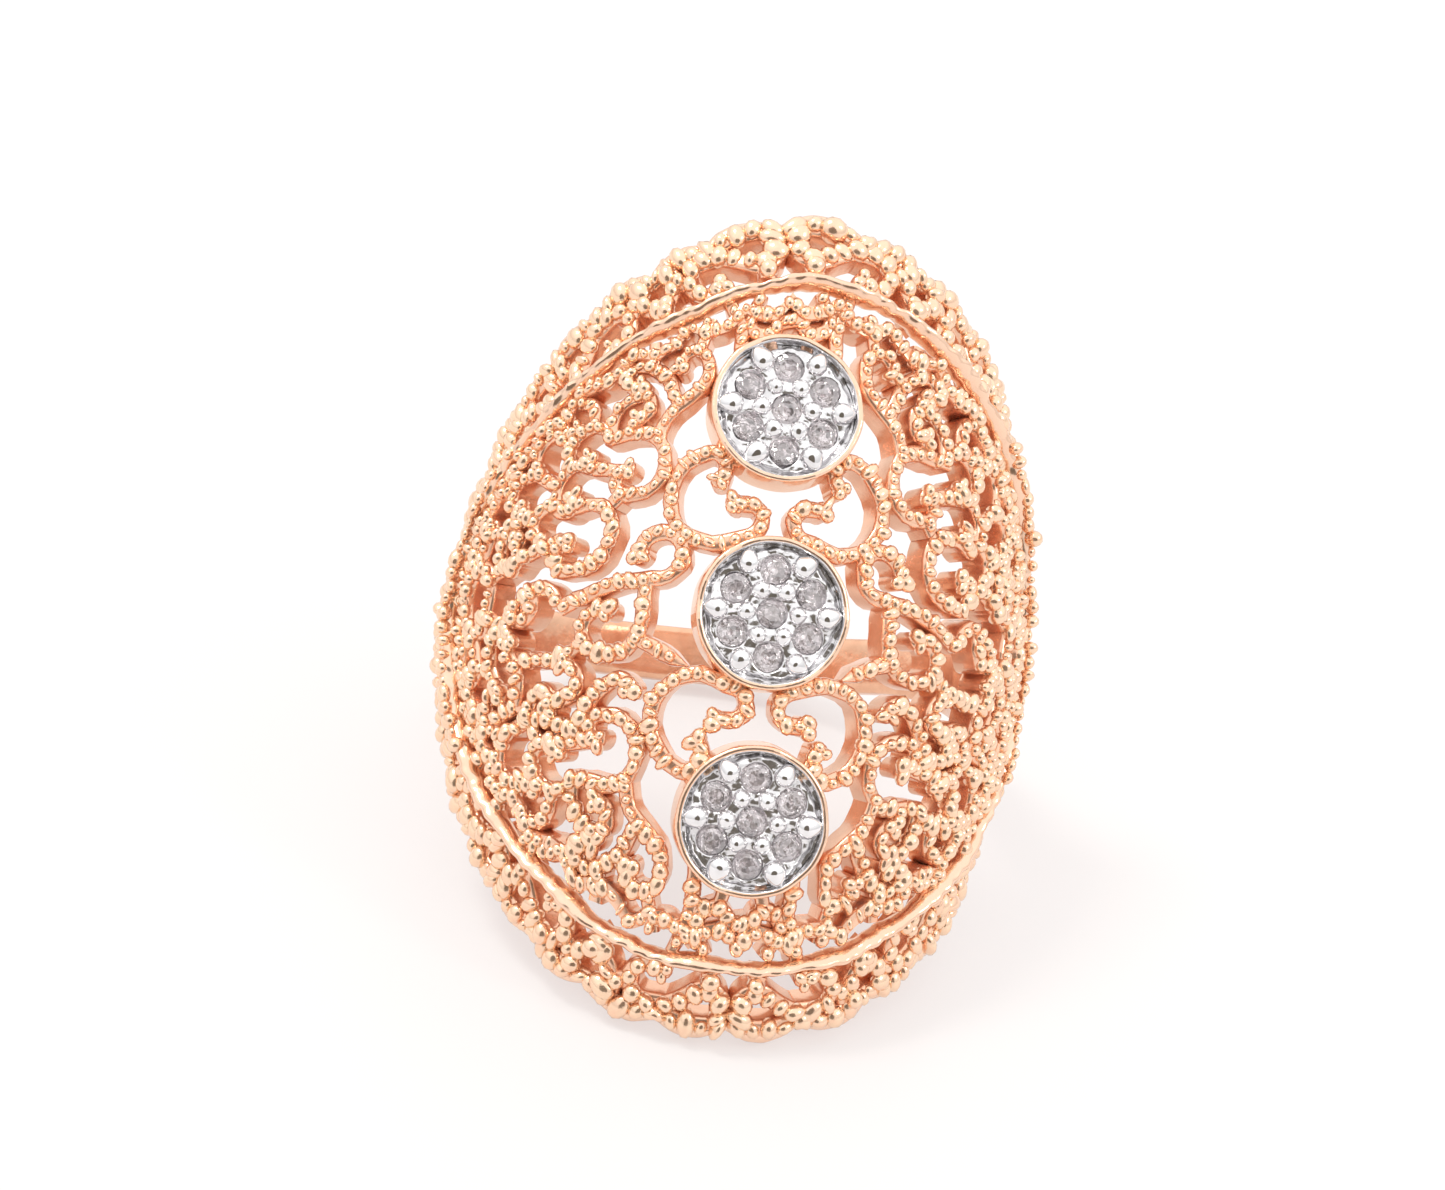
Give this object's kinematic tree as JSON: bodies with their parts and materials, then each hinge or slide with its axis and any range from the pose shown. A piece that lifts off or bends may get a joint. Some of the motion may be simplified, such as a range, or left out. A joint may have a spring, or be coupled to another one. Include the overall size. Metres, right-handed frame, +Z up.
{
  "type": "filigree openwork ring",
  "caption": "Finger ring with a long pierced scroll dome, round stone clusters in a column, a scalloped skirt and a narrow plain band.",
  "frame": {"origin": "centre of the finger hole, in the middle of the band's width", "axes": "+X across the dome, +Z up with the ring lying on the dome's lower tip and the back of the band; the dome faces -Y and up, and the finger's axis leans back in the YZ plane"},
  "size_m": [0.0228, 0.0249, 0.024],
  "materials": {
    "rose_gold": "polished rose gold, 14 carat",
    "white_plate": "rhodium-plated, bright cut",
    "stone": "clear small diamonds"
  },
  "bodies": {
    "root": {"openwork_ring": "rose_gold", "cluster_plate_upper": "white_plate", "cluster_plate_middle": "white_plate", "cluster_plate_lower": "white_plate", "stone_upper_0": "stone", "stone_upper_1": "stone", "stone_upper_2": "stone", "stone_upper_3": "stone", "stone_upper_4": "stone", "stone_upper_5": "stone", "stone_upper_6": "stone", "stone_middle_0": "stone", "stone_middle_1": "stone", "stone_middle_2": "stone", "stone_middle_3": "stone", "stone_middle_4": "stone", "stone_middle_5": "stone", "stone_middle_6": "stone", "stone_lower_0": "stone", "stone_lower_1": "stone", "stone_lower_2": "stone", "stone_lower_3": "stone", "stone_lower_4": "stone", "stone_lower_5": "stone", "stone_lower_6": "stone"}
  },
  "joints": []
}
